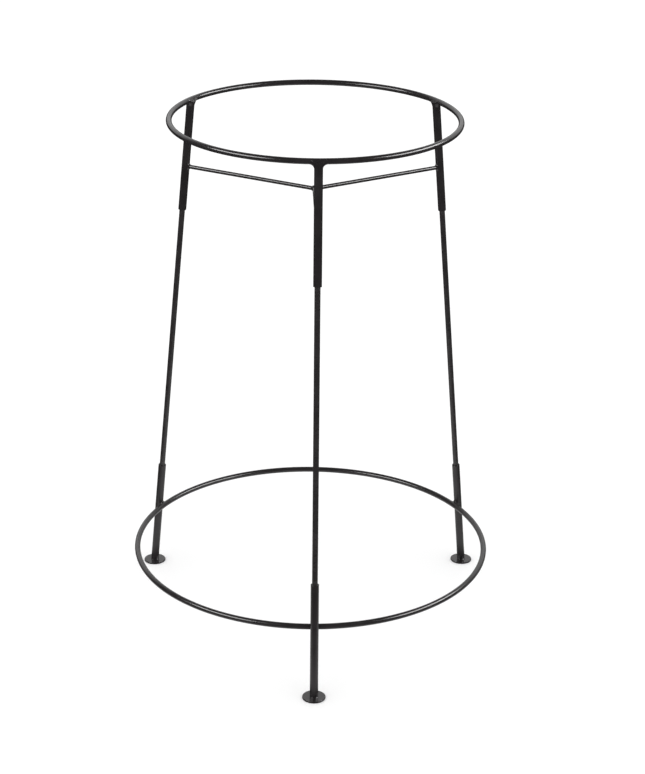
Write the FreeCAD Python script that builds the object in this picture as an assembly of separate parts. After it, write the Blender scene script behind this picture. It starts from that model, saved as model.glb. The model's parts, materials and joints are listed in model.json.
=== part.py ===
import FreeCAD, Part
import math
import os

# Knock-down umbrella stand of painted steel wire and tube, in millimetres.
# +Z is up, the floor is z = 0, and the origin is on the floor under the centre of the two rings.
# The front leg stands towards -Y. The stand is two welded frames joined by three loose rods.

Vector = FreeCAD.Vector

# Overall sizes
OVERALL_HEIGHT = 650.0
TOP_RING_OUTER_DIAMETER = 353.0
BOTTOM_RING_OUTER_DIAMETER = 450.0
BOTTOM_RING_HEIGHT = 87.0        # ring centre line above the floor
BRACE_HEIGHT = 561.0             # spoke centre lines above the floor
LEG_AZIMUTHS = {"front": -90.0, "right": 30.0, "left": 150.0}

# Stock
WIRE_RADIUS = 3.5                # both rings and the leg rods
SPOKE_RADIUS = 2.5
SOCKET_RADIUS = 5.0
BORE_RADIUS = 4.0

# Sockets and what is inside them
UPPER_SOCKET_MOUTH = 504.0       # height of the lower, open end
LOWER_SOCKET_MOUTH = 145.0       # height of the upper, open end
SOCKET_END_BELOW_RING = 2.0      # top end of an upper socket, below the ring's centre line
ROD_INSERTION = 40.0
ROD_END_CHAMFER = 0.8
ROD_END_GAP = 0.3                # between a rod end and its stop plug
PLUG_LENGTH = 8.0
MOUTH_CHAMFER = 0.3
CUT_OVERSHOOT = 1.0              # how far a cutting tool runs past the faces it opens

# Feet
FOOT_RADIUS = 14.0
FOOT_THICKNESS = 2.0
FOOT_EDGE_ROUNDING = 0.9

# Welds
WELD_TIP = 0.5                   # end size of a bead, as a share of its middle
LOWER_RING_ROOT_GAP = 0.2        # between the bottom ring and a lower socket, bridged by the weld
UPPER_WELD_LENGTH = 17.0         # along the ring
UPPER_WELD_WIDTH = 11.4
UPPER_WELD_DROP = 5.0            # weld centre below the ring's centre line
LOWER_WELD_LENGTH = 13.0
LOWER_WELD_WIDTH = 5.4
LOWER_WELD_RISE = 3.1            # weld centre above or below the ring's centre line
LOWER_WELD_INSET = 0.9           # weld centre inside the ring's outermost line
HUB_WELD_RADIUS = 4.2
COLLAR_LIP = 0.1                 # thickness of a weld collar at its thin end
SPOKE_WELD_REACH = 3.0           # along the spoke, from the socket's wall
SPOKE_WELD_FLARE = 1.6           # beyond the spoke, at the socket's wall
FOOT_WELD_HEIGHT = 2.2
FOOT_WELD_FLARE = 1.6

PLANE_TOLERANCE = 1e-3           # for finding the edges that lie in one plane
SOLVER_STEPS = 20

# Worked out from the driving sizes
TOP_RING_RADIUS = TOP_RING_OUTER_DIAMETER / 2 - WIRE_RADIUS
TOP_RING_HEIGHT = OVERALL_HEIGHT - WIRE_RADIUS
BOTTOM_RING_RADIUS = BOTTOM_RING_OUTER_DIAMETER / 2 - WIRE_RADIUS


def solve_splay():
    """Leg slope from the vertical: the leg axis starts on the top ring's centre line, and the
    bottom ring lies inside the socket, one root gap clear of it."""
    drop = TOP_RING_HEIGHT - BOTTOM_RING_HEIGHT
    spacing = WIRE_RADIUS + SOCKET_RADIUS + LOWER_RING_ROOT_GAP
    angle = 0.0
    for _ in range(SOLVER_STEPS):
        outward = BOTTOM_RING_RADIUS + spacing / math.cos(angle) - TOP_RING_RADIUS
        angle = math.atan(outward / drop)
    return angle


SPLAY = solve_splay()


def radial(azimuth):
    """Horizontal unit vector outwards at this azimuth."""
    angle = math.radians(azimuth)
    return Vector(math.cos(angle), math.sin(angle), 0)


def tangent(azimuth):
    """Horizontal unit vector along the rings at this azimuth."""
    angle = math.radians(azimuth)
    return Vector(-math.sin(angle), math.cos(angle), 0)


def leg_radius(height):
    """Distance of the leg axis from the stand's axis."""
    return TOP_RING_RADIUS + (TOP_RING_HEIGHT - height) * math.tan(SPLAY)


def leg_point(azimuth, height):
    return radial(azimuth) * leg_radius(height) + Vector(0, 0, height)


def leg_direction(azimuth):
    """Unit vector up along the leg."""
    return radial(azimuth) * -math.sin(SPLAY) + Vector(0, 0, math.cos(SPLAY))


def leg_cylinder(azimuth, low, high, radius):
    """Round bar on the leg axis between two heights, with square ends."""
    start = leg_point(azimuth, low)
    length = (high - low) / math.cos(SPLAY)
    return Part.makeCylinder(radius, length, start, leg_direction(azimuth))


def end_edges(shape, point, direction):
    """Circular edges that lie in the plane through a point, square to a direction."""
    found = []
    for edge in shape.Edges:
        offset = edge.CenterOfMass.sub(point).dot(direction)
        if abs(offset) < PLANE_TOLERANCE and edge.Closed:
            found.append(edge)
    return found


def spindle(centre, direction, length, width):
    """Round bar that tapers from its middle to both ends, for a weld bead."""
    half = length / 2
    tip = width / 2 * WELD_TIP
    back = Part.makeCone(tip, width / 2, half, centre - direction * half, direction)
    front = Part.makeCone(width / 2, tip, half, centre, direction)
    return back.fuse(front)


def make_ring(radius, height):
    return Part.makeTorus(radius, WIRE_RADIUS, Vector(0, 0, height), Vector(0, 0, 1))


def make_upper_socket(azimuth, ring):
    """Tube welded under the top ring, saddled to the wire, open at its lower end."""
    top = TOP_RING_HEIGHT - SOCKET_END_BELOW_RING
    outside = leg_cylinder(azimuth, UPPER_SOCKET_MOUTH, top, SOCKET_RADIUS)
    mouth = leg_point(azimuth, UPPER_SOCKET_MOUTH)
    outside = outside.makeChamfer(MOUTH_CHAMFER, end_edges(outside, mouth, leg_direction(azimuth)))
    bore = leg_cylinder(azimuth, UPPER_SOCKET_MOUTH - CUT_OVERSHOOT, top + CUT_OVERSHOOT, BORE_RADIUS)
    return outside.cut(bore).cut(ring)


def make_lower_socket(azimuth):
    """Tube standing on its foot disc, open at its upper end."""
    outside = leg_cylinder(azimuth, -SOCKET_RADIUS, LOWER_SOCKET_MOUTH, SOCKET_RADIUS)
    mouth = leg_point(azimuth, LOWER_SOCKET_MOUTH)
    outside = outside.makeChamfer(MOUTH_CHAMFER, end_edges(outside, mouth, leg_direction(azimuth)))
    bore = leg_cylinder(azimuth, -2 * SOCKET_RADIUS, LOWER_SOCKET_MOUTH + CUT_OVERSHOOT, BORE_RADIUS)
    return outside.cut(bore).cut(below_foot_top(azimuth))


def below_foot_top(azimuth):
    """Block wider than a foot disc that fills everything under the disc's top face."""
    side = 6 * FOOT_RADIUS
    corner = leg_point(azimuth, 0) + Vector(-side / 2, -side / 2, FOOT_THICKNESS - side)
    return Part.makeBox(side, side, side, corner)


def make_leg_rod(azimuth):
    low = LOWER_SOCKET_MOUTH - ROD_INSERTION
    high = UPPER_SOCKET_MOUTH + ROD_INSERTION
    rod = leg_cylinder(azimuth, low, high, WIRE_RADIUS)
    direction = leg_direction(azimuth)
    ends = end_edges(rod, leg_point(azimuth, low), direction)
    ends += end_edges(rod, leg_point(azimuth, high), direction)
    return rod.makeChamfer(ROD_END_CHAMFER, ends)


def make_upper_plug(azimuth):
    """Slug fixed in an upper socket, which rests on the leg rod."""
    low = UPPER_SOCKET_MOUTH + ROD_INSERTION + ROD_END_GAP
    return leg_cylinder(azimuth, low, low + PLUG_LENGTH, BORE_RADIUS)


def make_lower_plug(azimuth):
    """Slug fixed in a lower socket, on which the leg rod stands."""
    high = LOWER_SOCKET_MOUTH - ROD_INSERTION - ROD_END_GAP
    return leg_cylinder(azimuth, high - PLUG_LENGTH, high, BORE_RADIUS)


def make_spoke(azimuth, hub):
    """Brace wire from the hub's weld bead to the inner face of an upper socket."""
    reach = leg_radius(BRACE_HEIGHT)
    centre = Vector(0, 0, BRACE_HEIGHT)
    wire = Part.makeCylinder(SPOKE_RADIUS, reach, centre, radial(azimuth))
    return wire.cut(hub).cut(socket_core(azimuth))


def socket_core(azimuth):
    """The space inside an upper socket's outer wall, for trimming what meets it."""
    return leg_cylinder(azimuth, UPPER_SOCKET_MOUTH, TOP_RING_HEIGHT, SOCKET_RADIUS)


def make_spoke_weld(azimuth, spoke):
    """Tapered collar round a spoke where it meets the socket."""
    inward = radial(azimuth) * -1
    flare = SPOKE_WELD_FLARE / SPOKE_WELD_REACH
    buried = SOCKET_RADIUS / 2
    start = leg_point(azimuth, BRACE_HEIGHT) + inward * (SOCKET_RADIUS - buried)
    wide = SPOKE_RADIUS + SPOKE_WELD_FLARE + flare * buried
    thin = SPOKE_RADIUS + COLLAR_LIP
    collar = Part.makeCone(wide, thin, buried + SPOKE_WELD_REACH, start, inward)
    return collar.cut(socket_core(azimuth)).cut(spoke)


def make_hub_weld():
    """Round bead that joins the inner ends of the spokes."""
    return Part.makeSphere(HUB_WELD_RADIUS, Vector(0, 0, BRACE_HEIGHT))


def make_upper_ring_weld(azimuth, ring):
    """Bead that fills the corner between the top ring and an upper socket, both ways along the ring."""
    centre = leg_point(azimuth, TOP_RING_HEIGHT - UPPER_WELD_DROP)
    bead = spindle(centre, tangent(azimuth), UPPER_WELD_LENGTH, UPPER_WELD_WIDTH)
    return bead.cut(socket_core(azimuth)).cut(ring)


def make_lower_ring_weld(azimuth, ring, side):
    """Bead in the groove between the bottom ring and a lower socket, over (1) or under (-1) the ring."""
    out = BOTTOM_RING_RADIUS + WIRE_RADIUS - LOWER_WELD_INSET
    centre = radial(azimuth) * out + Vector(0, 0, BOTTOM_RING_HEIGHT + side * LOWER_WELD_RISE)
    bead = spindle(centre, tangent(azimuth), LOWER_WELD_LENGTH, LOWER_WELD_WIDTH)
    core = leg_cylinder(azimuth, 0, LOWER_SOCKET_MOUTH, SOCKET_RADIUS)
    return bead.cut(core).cut(ring)


def make_foot_disc(azimuth):
    centre = radial(azimuth) * leg_radius(FOOT_THICKNESS)
    disc = Part.makeCylinder(FOOT_RADIUS, FOOT_THICKNESS, centre, Vector(0, 0, 1))
    up = Vector(0, 0, 1)
    rims = end_edges(disc, centre, up) + end_edges(disc, centre + up * FOOT_THICKNESS, up)
    return disc.makeFillet(FOOT_EDGE_ROUNDING, rims)


def make_foot_weld(azimuth):
    """Tapered collar round a lower socket where it stands on its foot disc."""
    flare = FOOT_WELD_FLARE / FOOT_WELD_HEIGHT
    buried = FOOT_THICKNESS
    wide = SOCKET_RADIUS + FOOT_WELD_FLARE + flare * buried
    thin = SOCKET_RADIUS + COLLAR_LIP
    length = (buried + FOOT_WELD_HEIGHT) / math.cos(SPLAY)
    collar = Part.makeCone(wide, thin, length, leg_point(azimuth, 0), leg_direction(azimuth))
    core = leg_cylinder(azimuth, -SOCKET_RADIUS, LOWER_SOCKET_MOUTH, SOCKET_RADIUS)
    return collar.cut(core).cut(below_foot_top(azimuth))


def build():
    """Every piece of the stand by name."""
    top_ring = make_ring(TOP_RING_RADIUS, TOP_RING_HEIGHT)
    bottom_ring = make_ring(BOTTOM_RING_RADIUS, BOTTOM_RING_HEIGHT)
    hub_weld = make_hub_weld()
    pieces = {"top_ring": top_ring, "bottom_ring": bottom_ring, "hub_weld": hub_weld}
    for side, azimuth in LEG_AZIMUTHS.items():
        spoke = make_spoke(azimuth, hub_weld)
        pieces["upper_socket_" + side] = make_upper_socket(azimuth, top_ring)
        pieces["upper_ring_weld_" + side] = make_upper_ring_weld(azimuth, top_ring)
        pieces["upper_stop_plug_" + side] = make_upper_plug(azimuth)
        pieces["brace_spoke_" + side] = spoke
        pieces["spoke_weld_" + side] = make_spoke_weld(azimuth, spoke)
        pieces["leg_rod_" + side] = make_leg_rod(azimuth)
        pieces["lower_socket_" + side] = make_lower_socket(azimuth)
        pieces["ring_weld_above_" + side] = make_lower_ring_weld(azimuth, bottom_ring, 1)
        pieces["ring_weld_below_" + side] = make_lower_ring_weld(azimuth, bottom_ring, -1)
        pieces["lower_stop_plug_" + side] = make_lower_plug(azimuth)
        pieces["foot_disc_" + side] = make_foot_disc(azimuth)
        pieces["foot_weld_" + side] = make_foot_weld(azimuth)
    return pieces


def only_solid(name, shape):
    """The one solid that a piece must be."""
    if len(shape.Solids) != 1 or not shape.isValid():
        raise ValueError(name + " has " + str(len(shape.Solids)) + " solids or is not valid")
    return shape.Solids[0]


def main():
    os.makedirs("parts", exist_ok=True)
    for name, shape in build().items():
        solid = only_solid(name, shape)
        solid.exportStep("parts/" + name + ".step")
        print(name, round(solid.Volume, 1), "mm3")


main()
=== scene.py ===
import json
import math
from functools import partial

import bpy
import numpy as np
from mathutils import Matrix, Vector


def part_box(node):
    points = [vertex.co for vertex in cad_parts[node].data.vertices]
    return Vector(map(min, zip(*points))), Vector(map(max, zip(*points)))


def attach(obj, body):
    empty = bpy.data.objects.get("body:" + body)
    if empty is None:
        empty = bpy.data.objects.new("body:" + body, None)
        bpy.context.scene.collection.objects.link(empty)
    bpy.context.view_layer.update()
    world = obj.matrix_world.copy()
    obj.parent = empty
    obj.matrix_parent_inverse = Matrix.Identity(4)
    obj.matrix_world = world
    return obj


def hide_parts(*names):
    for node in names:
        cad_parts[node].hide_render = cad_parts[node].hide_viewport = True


# Umbrella stand of black painted wire and tube. Metres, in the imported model's frame:
# +Z up, the floor at z = 0, the front leg towards -Y.

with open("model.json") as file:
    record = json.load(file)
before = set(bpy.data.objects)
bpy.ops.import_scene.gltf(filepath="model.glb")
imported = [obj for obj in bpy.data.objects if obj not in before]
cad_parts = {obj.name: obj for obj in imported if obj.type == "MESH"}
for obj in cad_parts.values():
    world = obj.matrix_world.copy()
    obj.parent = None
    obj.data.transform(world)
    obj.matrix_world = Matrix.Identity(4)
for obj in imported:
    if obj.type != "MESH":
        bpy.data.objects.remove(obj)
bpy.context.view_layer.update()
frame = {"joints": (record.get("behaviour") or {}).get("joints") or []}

MM = 0.001
SIDES = ("front", "right", "left")
JOINTS = {joint["name"]: joint for joint in frame["joints"]}


# ---------------------------------------------------------------- sizes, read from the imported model

def box_mid(node):
    low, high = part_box(node)
    return (low + high) / 2


def box_height(node):
    low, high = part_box(node)
    return high.z - low.z


def ring_sizes(node):
    """(centre-line radius, height, wire radius) of a ring."""
    low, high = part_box(node)
    wire = (high.z - low.z) / 2
    return (high.x - low.x) / 2 - wire, (high.z + low.z) / 2, wire


TOP_R, TOP_Z, WIRE = ring_sizes("top_ring")
LOW_R, LOW_Z, _ = ring_sizes("bottom_ring")


def leg_axis(side):
    """A leg's start on the top ring's centre line, the unit vector down it and the level one outwards."""
    pivot = Vector(JOINTS[side + "_rod_lean"]["pos_m"])
    out = Vector((pivot.x, pivot.y, 0)).normalized()
    top = out * TOP_R + Vector((0, 0, TOP_Z))
    return top, (pivot - top).normalized(), out


SPLAY_SIN = Vector(leg_axis("front")[1][:2]).length
SPLAY_COS = abs(leg_axis("front")[1].z)


def along(side, height):
    """Distance down the leg axis from the top ring to a height."""
    top, down, _ = leg_axis(side)
    return (top.z - height) / -down.z


SOCKET = 5.0 * MM                            # outer radius of the socket tubes
BORE = 4.0 * MM                              # their inner radius
SOCKET_START = 2.0 * MM / SPLAY_COS          # how far down the leg axis the upper sockets start
UPPER_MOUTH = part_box("upper_socket_front")[0].z + SOCKET * SPLAY_SIN
LOWER_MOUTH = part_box("lower_socket_front")[1].z - SOCKET * SPLAY_SIN
ROD_FLAT = 2.7 * MM                          # radius of the flat end of a rod, inside its rounded edge
ROD_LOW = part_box("leg_rod_front")[0].z + ROD_FLAT * SPLAY_SIN
ROD_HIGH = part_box("leg_rod_front")[1].z - ROD_FLAT * SPLAY_SIN
SPOKE = box_height("brace_spoke_front") / 2  # radius of the brace spokes
BRACE_Z = box_mid("brace_spoke_front").z
HUB = Vector((0, 0, BRACE_Z))
FOOT_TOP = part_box("foot_disc_front")[1].z
FOOT_R = (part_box("foot_disc_front")[1].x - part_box("foot_disc_front")[0].x) / 2


# ---------------------------------------------------------------- mesh tools

def add_mesh(name, verts, faces):
    mesh = bpy.data.meshes.new(name)
    mesh.from_pydata([tuple(v) for v in verts], [], [tuple(int(i) for i in f) for f in faces])
    mesh.validate()
    mesh.polygons.foreach_set("use_smooth", [True] * len(mesh.polygons))
    mesh.update()
    obj = bpy.data.objects.new(name, mesh)
    bpy.context.scene.collection.objects.link(obj)
    return obj


def flip_out(obj):
    """Turns the faces outwards, by the sign of the volume that they enclose."""
    mesh = obj.data
    mesh.calc_loop_triangles()
    volume = 0.0
    for tri in mesh.loop_triangles:
        a, b, c = (mesh.vertices[i].co for i in tri.vertices)
        volume += a.dot(b.cross(c))
    if volume < 0:
        mesh.flip_normals()


def add_solid(name, verts, faces):
    obj = add_mesh(name, verts, faces)
    flip_out(obj)
    return obj


def place(obj, body, nodes, material):
    """Hangs a piece on its body, in the place of CAD nodes, with its material."""
    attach(obj, body)
    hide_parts(*nodes)
    obj.data.materials.append(material)


def round_corners(points, radii, steps=4):
    """Profile with each corner of a given radius turned into an arc; a radius of 0 keeps the point."""
    done = []
    count = len(points)
    for i, (point, radius) in enumerate(zip(points, radii)):
        here = Vector(point)
        if radius <= 0:
            done.append(here)
            continue
        before = (Vector(points[i - 1]) - here).normalized()
        after = (Vector(points[(i + 1) % count]) - here).normalized()
        half = before.angle(after) / 2
        reach = radius / math.tan(half)
        centre = here + (before + after).normalized() * (radius / math.sin(half))
        start = here + before * reach - centre
        end = here + after * reach - centre
        for k in range(steps + 1):
            mix = start.lerp(end, k / steps)
            done.append(centre + mix.normalized() * radius)
    return done


def spread(points, longest, guard, closed=False):
    """Profile with long runs divided, and a guard point near each end of a run to keep its shading flat."""
    done = []
    last = len(points) if closed else len(points) - 1
    for i in range(last):
        a, b = points[i], points[(i + 1) % len(points)]
        length = (b - a).length
        done.append(a)
        if length < 3 * guard:
            continue
        done.append(a + (b - a) * (guard / length))
        inner = max(1, math.ceil((length - 2 * guard) / longest))
        for k in range(1, inner):
            share = (guard + (length - 2 * guard) * k / inner) / length
            done.append(a + (b - a) * share)
        done.append(b - (b - a) * (guard / length))
    if not closed:
        done.append(points[-1])
    return done


DRAWN_WAVES = (0.19, 0.083, 0.041, 0.017)    # lengths of the waves that drawing leaves along a wire
WAVE_GROWTH = 0.35                           # how much higher long waves are than short ones


def drawn(s, turn, size, seed):
    """Slight unevenness of drawn wire and rolled tube, at a length along it and an angle round it."""
    rng = np.random.default_rng(seed)
    total = np.zeros_like(s)
    for wave in DRAWN_WAVES:
        shift, lobe, twist = rng.uniform(0, 2 * math.pi), rng.integers(0, 3), rng.uniform(0, 2 * math.pi)
        crest = np.sin(2 * math.pi * s / wave + shift) * np.cos(lobe * turn + twist)
        total = total + crest * wave ** WAVE_GROWTH
    return total * size


TUBE_AROUND = 48                             # faces round a tube


def lathe(name, profile, origin, axis, around=TUBE_AROUND, closed=False, uneven=0.0, seed=0):
    """Solid of revolution. The profile is (distance along the axis, radius); closed makes a tube."""
    axis = np.array(axis, float)
    side = np.cross(axis, (0.0, 0.0, 1.0) if abs(axis[2]) < 0.9 else (1.0, 0.0, 0.0))
    side /= np.linalg.norm(side)
    other = np.cross(axis, side)
    turn = np.linspace(0, 2 * math.pi, around, endpoint=False)
    spin = np.cos(turn)[:, None] * side + np.sin(turn)[:, None] * other
    verts, rows = [], []
    for s, r in profile:
        base = np.array(origin, float) + axis * s
        if r < 1e-7:
            rows.append([len(verts)])
            verts.append(base)
            continue
        bump = drawn(np.full(around, s), turn, uneven, seed)
        rows.append(list(range(len(verts), len(verts) + around)))
        verts.extend(base + spin * (r + bump)[:, None])
    after = rows[1:] + rows[:1] if closed else rows[1:]
    faces = []
    for a, b in zip(rows, after):
        for k in range(around):
            n = (k + 1) % around
            if len(a) == 1:
                faces.append((a[0], b[n], b[k]))
            elif len(b) == 1:
                faces.append((a[k], a[n], b[0]))
            else:
                faces.append((a[k], a[n], b[n], b[k]))
    return add_solid(name, verts, faces)


RING_STEP = 2.5 * MM          # length of a ring's faces
RING_AROUND = 40              # faces round its wire
RING_WAVES = (9, 17, 31, 63)  # waves per lap in its surface
RING_SWELL = 0.006 * MM       # height of each
PHASE = 6.28                  # random phases run from 0 to this, about one full turn


def ring_wire(name, radius, height, seed):
    """Ring of drawn wire, as bent: its section is round and its surface has the wire's faint unevenness."""
    count = int(2 * math.pi * radius / RING_STEP)
    angle = np.linspace(0, 2 * math.pi, count, endpoint=False)
    turn = np.linspace(0, 2 * math.pi, RING_AROUND, endpoint=False)
    lap, spin = np.meshgrid(angle, turn, indexing="ij")
    rng = np.random.default_rng(seed)
    swell = np.zeros_like(lap)
    for wave in RING_WAVES:
        crest = np.sin(wave * lap + rng.uniform(0, PHASE))
        swell += crest * np.cos(spin * rng.integers(0, 3) + rng.uniform(0, PHASE))
    thick = WIRE + swell * RING_SWELL
    out = radius + np.cos(spin) * thick
    verts = np.stack([out * np.cos(lap), out * np.sin(lap), height + np.sin(spin) * thick], -1)
    faces = []
    for i in range(count):
        row, after = i * RING_AROUND, (i + 1) % count * RING_AROUND
        for k in range(RING_AROUND):
            n = (k + 1) % RING_AROUND
            faces.append((row + k, after + k, after + n, row + n))
    return add_solid(name, verts.reshape(-1, 3), faces)


# ---------------------------------------------------------------- distance fields of the parts

def bar_field(points, origin, axis, radius, low=None, high=None):
    """Distance to a round bar, with optional square ends at distances low and high along it."""
    rel = points - np.array(origin, float)
    axis = np.array(axis, float)
    s = rel @ axis
    d = np.linalg.norm(rel - s[:, None] * axis, axis=1) - radius
    if low is not None:
        d = np.maximum(d, low - s)
    if high is not None:
        d = np.maximum(d, s - high)
    return d


def ring_field(points, radius, height):
    out = np.hypot(points[:, 0], points[:, 1]) - radius
    return np.hypot(out, points[:, 2] - height) - WIRE


def ball_field(points, centre, radius):
    return np.linalg.norm(points - np.array(centre), axis=1) - radius


def plate_field(points, height):
    """Distance above a level plate."""
    return points[:, 2] - height


def melt(a, b, reach):
    """Smooth union of two fields: weld metal fills the corner over this reach."""
    share = np.maximum(reach - np.abs(a - b), 0) / reach
    return np.minimum(a, b) - share * share * reach / 4


LUMP_WAVES = 5
LUMP_PACE = (0.7, 1.5)        # range of the waves' paces


def lumps(points, size, seed):
    """Soft random lumps, about size across, between -1 and 1."""
    rng = np.random.default_rng(seed)
    total = np.zeros(len(points))
    for _ in range(LUMP_WAVES):
        direction = rng.normal(size=3)
        direction /= np.linalg.norm(direction)
        pace = rng.uniform(*LUMP_PACE)
        total += np.sin(points @ direction * (2 * math.pi * pace / size) + rng.uniform(0, PHASE))
    return total / LUMP_WAVES


# ---------------------------------------------------------------- surfaces of distance fields

SQUARE = ((0, 0), (1, 0), (1, 1), (0, 1))    # corners of a grid square, in order round it


def square_corners(shape, axis):
    """For each of the four corners, where it lies in the grid for every square across an axis."""
    found = []
    for du, dv in SQUARE:
        spot = [slice(None)] * 3
        for way, step in (((axis + 1) % 3, du), ((axis + 2) % 3, dv)):
            spot[way] = slice(step, shape[way] - 1 + step)
        found.append(tuple(spot))
    return found


def unpinch(inside):
    """Clears points that touch only across a square's diagonal, where a surface would cross itself."""
    inside = inside.copy()
    found = True
    while found:
        found = False
        for axis in range(3):
            squares = square_corners(inside.shape, axis)
            a, b, c, d = (inside[spot] for spot in squares)
            pinched = (a & c & ~b & ~d) | (b & d & ~a & ~c)
            if pinched.any():
                found = True
                for spot in squares:
                    inside[spot] &= ~pinched
    return inside


def main_lump(inside, start):
    """The part of the inside that hangs together round the inside point nearest to a start."""
    lump = np.zeros_like(inside)
    near = np.argwhere(inside)
    lump[tuple(near[np.argmin(((near - start) ** 2).sum(1))])] = True
    size = 0
    while lump.sum() > size:
        size = lump.sum()
        for axis in range(3):
            for step in (1, -1):
                moved = np.roll(lump, step, axis)
                lump = lump | (moved & inside)
    return lump


def net_points(grid, value, inside, cell):
    """The number of each crossed cell's vertex, and the vertices: the mean of the cell's crossed edges."""
    cells = tuple(count - 1 for count in inside.shape)
    total, hits = np.zeros(cells + (3,)), np.zeros(cells)
    for axis in range(3):
        for u in (0, 1):
            for v in (0, 1):
                at = [0, 0, 0]
                at[(axis + 1) % 3], at[(axis + 2) % 3] = u, v
                a = tuple(slice(o, o + c) for o, c in zip(at, cells))
                at[axis] = 1
                b = tuple(slice(o, o + c) for o, c in zip(at, cells))
                cross = inside[a] != inside[b]
                gap = np.where(cross, value[a] - value[b], 1.0)
                share = np.where(cross, value[a] / gap, 0.0)
                point = grid[a].copy()
                point[..., axis] += share * cell
                total += np.where(cross[..., None], point, 0.0)
                hits += cross
    active = hits > 0
    index = np.full(cells, -1)
    index[active] = np.arange(int(active.sum()))
    return index, total[active] / hits[active][:, None]


def net_faces(index, inside):
    """A quad round each crossed grid edge, over the vertices of the four cells that share it."""
    cells = index.shape
    faces = []
    for axis in range(3):
        u, v = (axis + 1) % 3, (axis + 2) % 3
        lower = [slice(1, c) for c in cells]
        lower[axis] = slice(0, cells[axis])
        upper = list(lower)
        upper[axis] = slice(1, cells[axis] + 1)
        start, end = inside[tuple(lower)], inside[tuple(upper)]
        for spot in np.argwhere(start != end):
            base = [int(spot[i]) + (0 if i == axis else 1) for i in range(3)]
            corner = []
            for du, dv in SQUARE:
                beside = list(base)
                beside[u] -= du
                beside[v] -= dv
                corner.append(index[tuple(beside)])
            if not start[tuple(spot)]:
                corner.reverse()
            faces.append(corner)
    return faces


PULLS = 4             # steps that pull the vertices onto the surface
PULL_LIMIT = 0.2      # longest such step, in cells
PROBE = 0.05          # how far to each side the slope is measured, in cells
LEAST_SLOPE = 0.2     # least square of the slope that a step is worked out with
LEAST_VALUE = 0.01    # least distance of a grid point from the surface, in cells


def pull_on(field, verts, cell):
    """Moves the vertices onto the field's surface, in a few short steps along its slope."""
    step = cell * PROBE
    for _ in range(PULLS):
        here = field(verts)
        ways = [(field(verts + step * e) - field(verts - step * e)) / (2 * step) for e in np.eye(3)]
        slope = np.stack(ways, 1)
        move = -here[:, None] * slope / np.maximum((slope ** 2).sum(1), LEAST_SLOPE)[:, None]
        size = np.linalg.norm(move, axis=1)
        move *= np.minimum(1, cell * PULL_LIMIT / np.maximum(size, 1e-12))[:, None]
        verts = verts + move
    return verts


def surface_nets(field, low, high, cell):
    """Closed surface of quads where the field is 0, between two corners of a box."""
    count = np.ceil((high - low) / cell).astype(int) + 1
    axes = [low[i] + cell * np.arange(count[i]) for i in range(3)]
    grid = np.stack(np.meshgrid(*axes, indexing="ij"), -1)
    value = field(grid.reshape(-1, 3)).reshape(tuple(count))
    inside = main_lump(unpinch(value < 0), count / 2)
    least = LEAST_VALUE * cell
    value = np.where(inside, np.minimum(value, -least), np.maximum(value, least))
    index, verts = net_points(grid, value, inside, cell)
    return pull_on(field, verts, cell), net_faces(index, inside)


# ---------------------------------------------------------------- weld metal

SINK = 0.08 * MM          # how far below the parts' own skin the weld metal fades out
ROOT = 0.6 * MM           # how deep the weld metal reaches into the parts
RIPPLE = 0.07 * MM        # height of the ripples in the metal
RIPPLE_RISE = 0.5 * MM    # depth of fill over which they rise to full height
WIDE_LUMP = 5.5 * MM
WIDE_SHARE = 1.6          # height of the wide lumps, where the narrow ones have 1
NARROW_LUMP = 1.9 * MM


def weld_field(points, parts, reach, seed):
    """Distance to the weld metal that fills the corners between parts, given as distance fields."""
    values = [part(points) for part in parts]
    skin = np.minimum.reduce(values)
    full = values[0]
    for value in values[1:]:
        full = melt(full, value, reach)
    fill = np.maximum(skin - full, 0)
    amount = np.clip((fill - SINK) / RIPPLE_RISE, 0, 1)
    waves = lumps(points, WIDE_LUMP, seed) * WIDE_SHARE + lumps(points, NARROW_LUMP, seed + 1)
    full = full - RIPPLE * amount * waves
    root = ROOT * np.clip(fill / (SINK / 4), 0, 1)
    return np.maximum(full + SINK, -(skin + root))


def weld(name, parts, reach, centre, span, cell, seed):
    """Weld metal between parts, over a box that reaches span to each side of centre."""
    field = partial(weld_field, parts=parts, reach=reach, seed=seed)
    verts, faces = surface_nets(field, np.array(centre) - span, np.array(centre) + span, cell)
    return add_solid(name, verts, faces)


# ---------------------------------------------------------------- materials

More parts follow.
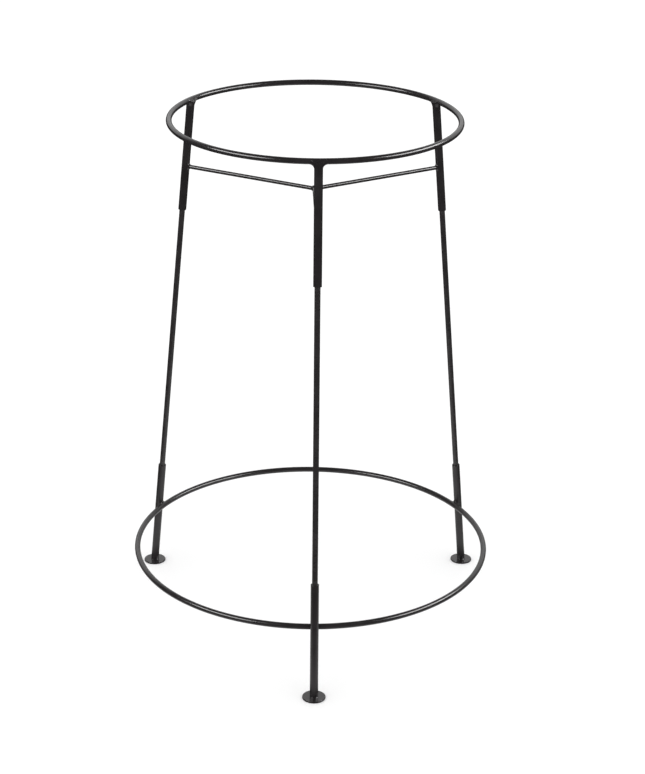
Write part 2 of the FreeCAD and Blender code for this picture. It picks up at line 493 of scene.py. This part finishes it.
class Nodes:
    """Short calls for building a node tree."""

    def __init__(self, tree):
        self.tree = tree
        tree.nodes.clear()

    def add(self, kind, **values):
        node = self.tree.nodes.new(kind)
        for key, value in values.items():
            setattr(node, key, value)
        return node

    def link(self, source, target):
        self.tree.links.new(source, target)

    def coords(self):
        return self.add("ShaderNodeTexCoord").outputs["Object"]

    def noise(self, coords, scale, detail=2.0, rough=0.5):
        node = self.add("ShaderNodeTexNoise")
        node.inputs["Scale"].default_value = scale
        node.inputs["Detail"].default_value = detail
        node.inputs["Roughness"].default_value = rough
        self.link(coords, node.inputs["Vector"])
        return node.outputs["Fac"]

    def ranged(self, value, source, target, smooth=False):
        """Value mapped from one (low, high) range to another and held at its ends."""
        node = self.add("ShaderNodeMapRange")
        if smooth:
            node.interpolation_type = "SMOOTHSTEP"
        for key, number in zip(("From Min", "From Max", "To Min", "To Max"), (*source, *target)):
            node.inputs[key].default_value = number
        self.link(value, node.inputs["Value"])
        return node.outputs["Result"]

    def math(self, operation, *values):
        node = self.add("ShaderNodeMath", operation=operation)
        for socket, value in zip(node.inputs, values):
            if isinstance(value, (int, float)):
                socket.default_value = value
            else:
                self.link(value, socket)
        return node.outputs[0]

    def mix(self, share, a, b):
        node = self.add("ShaderNodeMix", data_type="RGBA")
        self.link(share, node.inputs[0])
        for socket, value in ((node.inputs[6], a), (node.inputs[7], b)):
            if isinstance(value, tuple):
                socket.default_value = value + (1.0,)
            else:
                self.link(value, socket)
        return node.outputs[2]

    def bump(self, height, distance, before=None):
        node = self.add("ShaderNodeBump")
        node.inputs["Strength"].default_value = 1.0
        node.inputs["Distance"].default_value = distance
        self.link(height, node.inputs["Height"])
        if before is not None:
            self.link(before, node.inputs["Normal"])
        return node.outputs["Normal"]

    def output(self, shader, kind="ShaderNodeOutputMaterial"):
        out = self.add(kind)
        self.link(shader.outputs[0], out.inputs[0])


def new_material(name):
    material = bpy.data.materials.new(name)
    material.use_nodes = True
    return material, Nodes(material.node_tree)


FADE_IN = (0.0, 1.0)
FADE_OUT = (1.0, 0.0)

# Scales of the paint's patterns, in repeats per metre, and the contrast that they are cut at.
CLOUD_SCALE = 42.0
CLOUD_CUT = (0.35, 0.65)
GLOSS_SCALE = 130.0
GLOSS_CUT = (0.3, 0.7)
GLOSS_SPREAD = 0.05             # how far the roughness wanders to each side
PEEL_SCALE = 640.0
WIDE_PEEL_SCALE = 210.0
WIDE_PEEL = 2.2                 # depth of the wide orange peel, where the fine one has 1
DUST_SCALE = 520.0
DUST_SIZE = (0.10, 0.22)        # radius of a speck's core and of its rim, where the spacing is 1
DUST_PATCH_SCALE = 95.0
DUST_PATCH_CUT = (0.55, 0.68)
DUST = (0.10, 0.095, 0.095)     # colour of the dust specks
DUST_DULL = 0.25                # what they add to the roughness
RUB_SCALE = 900.0
RUB_CUT = (0.48, 0.62)
RUB_MOST = 0.55
RUBBED = (0.045, 0.043, 0.043)  # colour of paint that a socket's lip has rubbed
RUBBED_DULL = 0.2               # what the rubbing adds to the roughness
PAINT_IOR = 1.5


def dust_specks(n, coords, most):
    """Share of dust, in specks about 2 mm apart where there are any."""
    dust = n.add("ShaderNodeTexVoronoi", feature="F1")
    dust.inputs["Scale"].default_value = DUST_SCALE
    n.link(coords, dust.inputs["Vector"])
    grain = n.ranged(dust.outputs["Distance"], DUST_SIZE, FADE_OUT)
    pick = n.ranged(n.noise(coords, DUST_PATCH_SCALE), DUST_PATCH_CUT, (0.0, most))
    return n.math("MULTIPLY", grain, pick)


def rubbed_bands(n, coords, heights, width):
    """Share of rubbing, in broken bands that reach width above and below each of some heights."""
    up = n.add("ShaderNodeSeparateXYZ")
    n.link(coords, up.inputs[0])
    bands = []
    for height in heights:
        off = n.math("ABSOLUTE", n.math("SUBTRACT", up.outputs["Z"], height))
        bands.append(n.ranged(off, (width / 4, width), FADE_OUT, smooth=True))
    broken = n.ranged(n.noise(coords, RUB_SCALE, detail=3.0, rough=0.7), RUB_CUT, (0.0, RUB_MOST))
    return n.math("MULTIPLY", n.math("MAXIMUM", *bands), broken)


def paint(name, dark, pale, rough, peel, specks, rubbed=None):
    """Black semi-gloss paint: faint cloudiness, orange peel, dust specks and, on the rods, rubbed bands."""
    material, n = new_material(name)
    coords = n.coords()
    cloud = n.noise(coords, CLOUD_SCALE, detail=3.0)
    colour = n.mix(n.ranged(cloud, CLOUD_CUT, FADE_IN), dark, pale)
    sheen = n.noise(coords, GLOSS_SCALE, detail=3.0)
    gloss = n.ranged(sheen, GLOSS_CUT, (rough - GLOSS_SPREAD, rough + GLOSS_SPREAD))
    speck = dust_specks(n, coords, specks)
    colour = n.mix(speck, colour, DUST)
    gloss = n.math("ADD", gloss, n.math("MULTIPLY", speck, DUST_DULL))
    if rubbed:
        rub = rubbed_bands(n, coords, *rubbed)
        colour = n.mix(rub, colour, RUBBED)
        gloss = n.math("ADD", gloss, n.math("MULTIPLY", rub, RUBBED_DULL))
    normal = n.bump(n.noise(coords, PEEL_SCALE), peel)
    normal = n.bump(n.noise(coords, WIDE_PEEL_SCALE, detail=1.0), peel * WIDE_PEEL, normal)
    shader = n.add("ShaderNodeBsdfPrincipled")
    shader.inputs["IOR"].default_value = PAINT_IOR
    n.link(colour, shader.inputs["Base Color"])
    n.link(gloss, shader.inputs["Roughness"])
    n.link(normal, shader.inputs["Normal"])
    n.output(shader)
    return material


STEEL = (0.38, 0.38, 0.39)
STAINED_STEEL = (0.25, 0.245, 0.24)
STEEL_ROUGH = (0.28, 0.5)       # roughness where it is clean and where it is stained
STAIN_SCALE = 190.0
STAIN_CUT = (0.4, 0.7)
TOOL_SCALE = 260.0
TOOL_MARKS = (1.0, 1.0, 14.0)   # stretch of a noise that turns it into fine level lines
TOOL_DEPTH = 0.01 * MM


def turned_steel(name):
    """Bare turned steel, with fine tool marks and light stains."""
    material, n = new_material(name)
    coords = n.coords()
    stretch = n.add("ShaderNodeMapping")
    stretch.inputs["Scale"].default_value = TOOL_MARKS
    n.link(coords, stretch.inputs["Vector"])
    lines = n.noise(stretch.outputs[0], TOOL_SCALE, detail=3.0)
    stain = n.ranged(n.noise(coords, STAIN_SCALE, detail=4.0), STAIN_CUT, FADE_IN)
    shader = n.add("ShaderNodeBsdfPrincipled")
    shader.inputs["Metallic"].default_value = 1.0
    n.link(n.mix(stain, STEEL, STAINED_STEEL), shader.inputs["Base Color"])
    n.link(n.ranged(stain, FADE_IN, STEEL_ROUGH), shader.inputs["Roughness"])
    n.link(n.bump(lines, TOOL_DEPTH), shader.inputs["Normal"])
    n.output(shader)
    return material


INK = (0.0145, 0.0125, 0.0132)
INK_PALE = (0.0200, 0.0175, 0.0184)
ROD_INK = (0.0180, 0.0157, 0.0164)
ROD_INK_PALE = (0.0255, 0.0226, 0.0236)
FRAME_LOOK = dict(dark=INK, pale=INK_PALE, rough=0.21, peel=0.011 * MM, specks=0.3)
RUB_WIDTH = 9 * MM

# The ring, socket and weld paints are the same coat, so that it runs on over the joints.
RING_PAINT = paint("ring_paint", **FRAME_LOOK)
SOCKET_PAINT = paint("socket_paint", **FRAME_LOOK)
WELD_PAINT = paint("weld_paint", **FRAME_LOOK)
ROD_PAINT = paint("rod_paint", ROD_INK, ROD_INK_PALE, rough=0.28, peel=0.010 * MM, specks=0.3,
                  rubbed=((UPPER_MOUTH, LOWER_MOUTH), RUB_WIDTH))
SPOKE_PAINT = paint("spoke_paint", INK, INK_PALE, rough=0.14, peel=0.008 * MM, specks=0.2)
FOOT_PAINT = paint("foot_paint", INK, INK_PALE, rough=0.22, peel=0.014 * MM, specks=0.5)
PLUG_STEEL = turned_steel("plug_steel")


# ---------------------------------------------------------------- pieces

BAR_AROUND = 40               # faces round a rod or a plug
SPOKE_AROUND = 32
FOOT_AROUND = 72
WIRE_UNEVEN = 0.012 * MM      # unevenness of tubes and spokes
ROD_UNEVEN = 0.015 * MM
LONG_FACE = 7 * MM            # longest faces along a bar or tube
GUARD = 0.5 * MM              # length of the faces beside its edges
LIP = 0.42 * MM               # rounding of a socket's lips
ROD_EDGE = 0.8 * MM           # rounding of a rod's ends
PLUG_EDGE = 0.3 * MM
PLUG_PLAY = 0.02 * MM         # between a stop plug and the bore
SPOKE_EDGE = 0.3 * MM
SPOKE_START = 1.0 * MM        # where a spoke starts, inside the hub
SPOKE_BITE = 0.35 * MM        # how far it runs into the socket's wall
SPOKE_DEEP = 2.0 * MM         # how far it does so in the weld's distance field
FOOT_BITE = 1.0 * MM          # how far a lower socket runs into its foot disc
FOOT_EDGE = 0.4 * MM
FOOT_FACE = 1.5 * MM
FOOT_GUARD = 0.25 * MM
HUB_BALL = 0.76               # radius of the ball in the hub, as a share of the CAD hub weld's
BOX_SHIFT = 1 * MM            # from a spoke's or foot's joint to the middle of the box round its weld


def make_rings():
    ring = ring_wire("top_ring_wire", TOP_R, TOP_Z, seed=11)
    place(ring, "top_frame", ["top_ring"], RING_PAINT)
    ring = ring_wire("bottom_ring_wire", LOW_R, LOW_Z, seed=12)
    place(ring, "bottom_frame", ["bottom_ring"], RING_PAINT)


def tube(name, side, start, end, seed):
    """Socket tube between two distances down the leg axis, with rounded lips."""
    top, down, _ = leg_axis(side)
    section = [(start, BORE), (start, SOCKET), (end, SOCKET), (end, BORE)]
    profile = spread(round_corners(section, [LIP] * 4), LONG_FACE, GUARD, closed=True)
    return lathe(name, profile, top, down, closed=True, uneven=WIRE_UNEVEN, seed=seed)


def bar(name, origin, axis, start, end, radius, edge, uneven, seed, around=BAR_AROUND):
    """Round bar between two distances along an axis, with rounded end edges."""
    section = [(start, 0.0), (start, radius), (end, radius), (end, 0.0)]
    profile = spread(round_corners(section, [0, edge, edge, 0]), LONG_FACE, GUARD)
    return lathe(name, profile, origin, axis, around=around, uneven=uneven, seed=seed)


def socket_field(side, low=None):
    """Distance field of a leg's sockets as one long solid bar, which starts at low if that is given."""
    top, down, _ = leg_axis(side)
    return partial(bar_field, origin=top, axis=down, radius=SOCKET, low=low)


def make_sockets(side, seed):
    upper = tube("upper_socket_tube_" + side, side, SOCKET_START, along(side, UPPER_MOUTH), seed)
    place(upper, "top_frame", ["upper_socket_" + side], SOCKET_PAINT)
    end = along(side, FOOT_TOP) + FOOT_BITE
    lower = tube("lower_socket_tube_" + side, side, along(side, LOWER_MOUTH), end, seed + 1)
    place(lower, "bottom_frame", ["lower_socket_" + side], SOCKET_PAINT)


def make_rod(side, seed):
    top, down, _ = leg_axis(side)
    start, end = along(side, ROD_HIGH), along(side, ROD_LOW)
    rod = bar("leg_rod_bar_" + side, top, down, start, end, WIRE, ROD_EDGE, ROD_UNEVEN, seed)
    place(rod, side + "_leg", ["leg_rod_" + side], ROD_PAINT)


def make_plug(side, level, seed):
    """Steel slug inside a socket, which stops the rod."""
    top, down, _ = leg_axis(side)
    node = level + "_stop_plug_" + side
    low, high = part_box(node)
    tip = BORE * SPLAY_SIN
    start, end = along(side, high.z - tip), along(side, low.z + tip)
    name = level + "_stop_slug_" + side
    plug = bar(name, top, down, start, end, BORE - PLUG_PLAY, PLUG_EDGE, uneven=0.0, seed=seed)
    body = "top_frame" if level == "upper" else "bottom_frame"
    place(plug, body, [node], PLUG_STEEL)


def make_upper_bead(side, seed):
    """Weld that fills the corner between the top ring and the socket under it."""
    top, down, _ = leg_axis(side)
    ring = partial(ring_field, radius=TOP_R, height=TOP_Z)
    socket = socket_field(side, low=SOCKET_START)
    centre = top + down * 3 * MM
    bead = weld("upper_ring_bead_" + side, [ring, socket], reach=6.6 * MM, centre=centre, span=14 * MM,
                cell=0.32 * MM, seed=seed)
    place(bead, "top_frame", ["upper_ring_weld_" + side], WELD_PAINT)


def make_spoke(side, seed):
    """Brace spoke from the hub to a socket, and its weld there."""
    top, down, out = leg_axis(side)
    reach = (top + down * along(side, BRACE_Z) - HUB).length
    end = reach - SOCKET + SPOKE_BITE
    spoke = bar("brace_spoke_wire_" + side, HUB, out, SPOKE_START, end, SPOKE, SPOKE_EDGE,
                uneven=WIRE_UNEVEN, seed=seed, around=SPOKE_AROUND)
    place(spoke, "top_frame", ["brace_spoke_" + side], SPOKE_PAINT)
    wire = partial(bar_field, origin=HUB, axis=out, radius=SPOKE, high=reach - SOCKET + SPOKE_DEEP)
    centre = HUB + out * (reach - SOCKET - BOX_SHIFT)
    bead = weld("spoke_bead_" + side, [wire, socket_field(side)], reach=3.4 * MM, centre=centre,
                span=8 * MM, cell=0.27 * MM, seed=seed + 1)
    place(bead, "top_frame", ["spoke_weld_" + side], WELD_PAINT)


def make_lower_bead(side, seed):
    """Weld all round the point where the bottom ring touches a socket, above and below the ring."""
    _, _, out = leg_axis(side)
    ring = partial(ring_field, radius=LOW_R, height=LOW_Z)
    touch = out * (LOW_R + WIRE) + Vector((0, 0, LOW_Z))
    bead = weld("lower_ring_bead_" + side, [ring, socket_field(side)], reach=3.6 * MM, centre=touch,
                span=9 * MM, cell=0.28 * MM, seed=seed)
    nodes = ["ring_weld_above_" + side, "ring_weld_below_" + side]
    place(bead, "bottom_frame", nodes, WELD_PAINT)


def make_foot(side, seed):
    """Foot disc, and the weld between it and the socket."""
    centre = box_mid("foot_disc_" + side)
    centre.z = 0
    section = [(0, 0.0), (0, FOOT_R), (FOOT_TOP, FOOT_R), (FOOT_TOP, 0.0)]
    profile = spread(round_corners(section, [0, FOOT_EDGE, FOOT_EDGE, 0], steps=5), FOOT_FACE, FOOT_GUARD)
    disc = lathe("foot_pad_" + side, profile, centre, (0, 0, 1), around=FOOT_AROUND)
    place(disc, "bottom_frame", ["foot_disc_" + side], FOOT_PAINT)
    plate = partial(plate_field, height=FOOT_TOP)
    base = centre + Vector((0, 0, FOOT_TOP + BOX_SHIFT))
    bead = weld("foot_bead_" + side, [plate, socket_field(side)], reach=1.1 * MM, centre=base,
                span=8 * MM, cell=0.2 * MM, seed=seed)
    place(bead, "bottom_frame", ["foot_weld_" + side], WELD_PAINT)


def make_leg(side, seed):
    """Everything on one leg, from the top ring down to the foot."""
    make_sockets(side, seed)
    make_rod(side, seed + 2)
    make_plug(side, "upper", seed + 3)
    make_plug(side, "lower", seed + 3)
    make_upper_bead(side, seed + 4)
    make_spoke(side, seed + 5)
    make_lower_bead(side, seed + 7)
    make_foot(side, seed + 8)


def make_hub():
    """Weld in the middle of the brace: the three spokes run into one ball."""
    wires = []
    for side in SIDES:
        out = leg_axis(side)[2]
        wires.append(partial(bar_field, origin=HUB, axis=out, radius=SPOKE, low=0.0))
    ball = partial(ball_field, centre=HUB, radius=box_height("hub_weld") / 2 * HUB_BALL)
    hub = weld("hub_bead", wires + [ball], reach=2.4 * MM, centre=HUB, span=9 * MM, cell=0.26 * MM, seed=71)
    place(hub, "top_frame", ["hub_weld"], WELD_PAINT)


make_rings()
for number, leg_side in enumerate(SIDES):
    make_leg(leg_side, seed=100 + 20 * number)
make_hub()


# ---------------------------------------------------------------- floor, light and camera

FLOOR_HALF = 40.0
FLOOR_DROP = 0.02 * MM                     # below the feet
FLOOR_TONES = ((0.965, 0.965, 0.965), (0.98, 0.98, 0.98))
FLOOR_SCALE = 3.0
CARD_HALF = 0.55
CARD_DROP = 0.4 * MM
CARD_FADE = (0.22, 0.52)                   # distances from the middle between which the card's glow fades
CARD_GLOW = (0.8, 0.035)                   # its strength at them
FOOT_SHADE = (1.2 * FOOT_R, 4 * FOOT_R)    # distances from a foot over which its shade fades
FOOT_DARK = 0.03                           # what is left of the glow beside a foot


def square(name, half, drop):
    """Level square below the origin."""
    verts = [(-half, -half, 0), (half, -half, 0), (half, half, 0), (-half, half, 0)]
    obj = add_mesh(name, verts, [(0, 1, 2, 3)])
    obj.location.z = -drop
    return obj


def make_floor():
    floor = square("floor", FLOOR_HALF, FLOOR_DROP)
    floor.visible_glossy = False
    material, n = new_material("floor_paper")
    tone = n.mix(n.noise(n.coords(), FLOOR_SCALE), *FLOOR_TONES)
    shader = n.add("ShaderNodeBsdfDiffuse")
    n.link(tone, shader.inputs["Color"])
    n.output(shader)
    floor.data.materials.append(material)


def make_card():
    """Bright patch of floor under the stand, with a painted shadow darkening it beside the feet, seen only
    in reflections.
    """
    card = square("floor_card", CARD_HALF, CARD_DROP)
    card.visible_camera = False
    card.visible_diffuse = False
    card.visible_shadow = False
    material, n = new_material("card_glow")
    coords = n.coords()
    far = n.add("ShaderNodeVectorMath", operation="LENGTH")
    n.link(coords, far.inputs[0])
    glow = n.ranged(far.outputs["Value"], CARD_FADE, CARD_GLOW, smooth=True)
    for side in SIDES:
        foot = n.add("ShaderNodeVectorMath", operation="DISTANCE")
        n.link(coords, foot.inputs[0])
        foot.inputs[1].default_value = (*box_mid("foot_disc_" + side)[:2], 0)
        shade = n.ranged(foot.outputs["Value"], FOOT_SHADE, (FOOT_DARK, 1.0), smooth=True)
        glow = n.math("MULTIPLY", glow, shade)
    shader = n.add("ShaderNodeEmission")
    n.link(glow, shader.inputs["Strength"])
    n.output(shader)
    card.data.materials.append(material)


EVEN_LIGHT = 1.12              # strength of the even white light
DARK_STUDIO = 0.035            # strength of the dark part that reflections see
# The bright back wall of the studio, by direction: Y is how far back it is, and Z how high.
WALL_BACK = (0.30, 0.70)
WALL_FOOT = (0.00, 0.16)
WALL_HEAD = (0.50, 0.78)
WALL_TILT = (0.25, 0.50)
WALL_GLOW = (0.98, 1.12)


def make_world():
    """Even white light for the floor; reflections see a studio with a bright back wall and a dark front."""
    world = bpy.data.worlds.new("studio")
    bpy.context.scene.world = world
    world.use_nodes = True
    n = Nodes(world.node_tree)
    aim = n.add("ShaderNodeSeparateXYZ")
    n.link(n.add("ShaderNodeTexCoord").outputs["Generated"], aim.inputs[0])
    back = n.ranged(aim.outputs["Y"], WALL_BACK, FADE_IN, smooth=True)
    rise = n.ranged(aim.outputs["Z"], WALL_FOOT, FADE_IN, smooth=True)
    fall = n.ranged(aim.outputs["Z"], WALL_HEAD, FADE_OUT, smooth=True)
    wall = n.math("MULTIPLY", n.math("MULTIPLY", back, rise), fall)
    tilt = n.ranged(aim.outputs["Z"], WALL_TILT, WALL_GLOW)
    seen = n.math("MAXIMUM", n.math("MULTIPLY", wall, tilt), DARK_STUDIO)
    rays = n.add("ShaderNodeLightPath")
    even = n.add("ShaderNodeBackground")
    even.inputs["Color"].default_value = (1, 1, 1, 1)
    even.inputs["Strength"].default_value = EVEN_LIGHT
    polished = n.add("ShaderNodeBackground")
    polished.inputs["Color"].default_value = (1, 1, 1, 1)
    n.link(seen, polished.inputs["Strength"])
    pick = n.add("ShaderNodeMixShader")
    n.link(rays.outputs["Is Glossy Ray"], pick.inputs[0])
    n.link(even.outputs[0], pick.inputs[1])
    n.link(polished.outputs[0], pick.inputs[2])
    n.output(pick, "ShaderNodeOutputWorld")


TARGET = Vector((0, 0, 0.36))
SOFTBOX_ELEVATION = math.radians(32)
SOFTBOX_DISTANCE = 2.3
SOFTBOX_HEIGHT = 0.8


def softbox(name, azimuth, width, glow):
    """Softbox at an angle in degrees round from the front (positive to the right), facing the stand."""
    turn = math.radians(azimuth)
    level = math.cos(SOFTBOX_ELEVATION)
    toward = Vector((math.sin(turn) * level, -math.cos(turn) * level, math.sin(SOFTBOX_ELEVATION)))
    light = bpy.data.lights.new(name, "AREA")
    light.shape = "RECTANGLE"
    light.size, light.size_y = width, SOFTBOX_HEIGHT
    light.energy = glow * width * SOFTBOX_HEIGHT * math.pi
    obj = bpy.data.objects.new(name, light)
    obj.location = TARGET + toward * SOFTBOX_DISTANCE
    obj.rotation_euler = toward.to_track_quat("Z", "Y").to_euler()
    obj.visible_camera = False
    obj.visible_diffuse = False
    bpy.context.scene.collection.objects.link(obj)


CAMERA_PLACE = Vector((-0.060639, -2.43131, 1.321177))
CAMERA_TURN = (1.728, -22.714, 0.744)      # degrees: to the right, up, and rolled anticlockwise
CAMERA_LENS = 98.42
CAMERA_SENSOR = 36.0


def make_camera():
    yaw, pitch, roll = (math.radians(angle) for angle in CAMERA_TURN)
    forward = Vector((math.sin(yaw) * math.cos(pitch), math.cos(yaw) * math.cos(pitch), math.sin(pitch)))
    right = Vector((math.cos(yaw), -math.sin(yaw), 0))
    up = right.cross(forward)
    side = right * math.cos(roll) + up * math.sin(roll)
    top = up * math.cos(roll) - right * math.sin(roll)
    data = bpy.data.cameras.new("camera")
    data.sensor_width = CAMERA_SENSOR
    data.lens = CAMERA_LENS
    camera = bpy.data.objects.new("camera", data)
    turn = Matrix((side, top, -forward)).transposed()
    camera.matrix_world = Matrix.Translation(CAMERA_PLACE) @ turn.to_4x4()
    bpy.context.scene.collection.objects.link(camera)
    bpy.context.scene.camera = camera


make_floor()
make_card()
make_world()
softbox("softbox_left", azimuth=-62, width=1.7, glow=13.5)
softbox("softbox_right", azimuth=83, width=2.25, glow=14.5)
make_camera()
bpy.context.scene.view_settings.view_transform = "Standard"
bpy.context.scene.view_settings.look = "None"
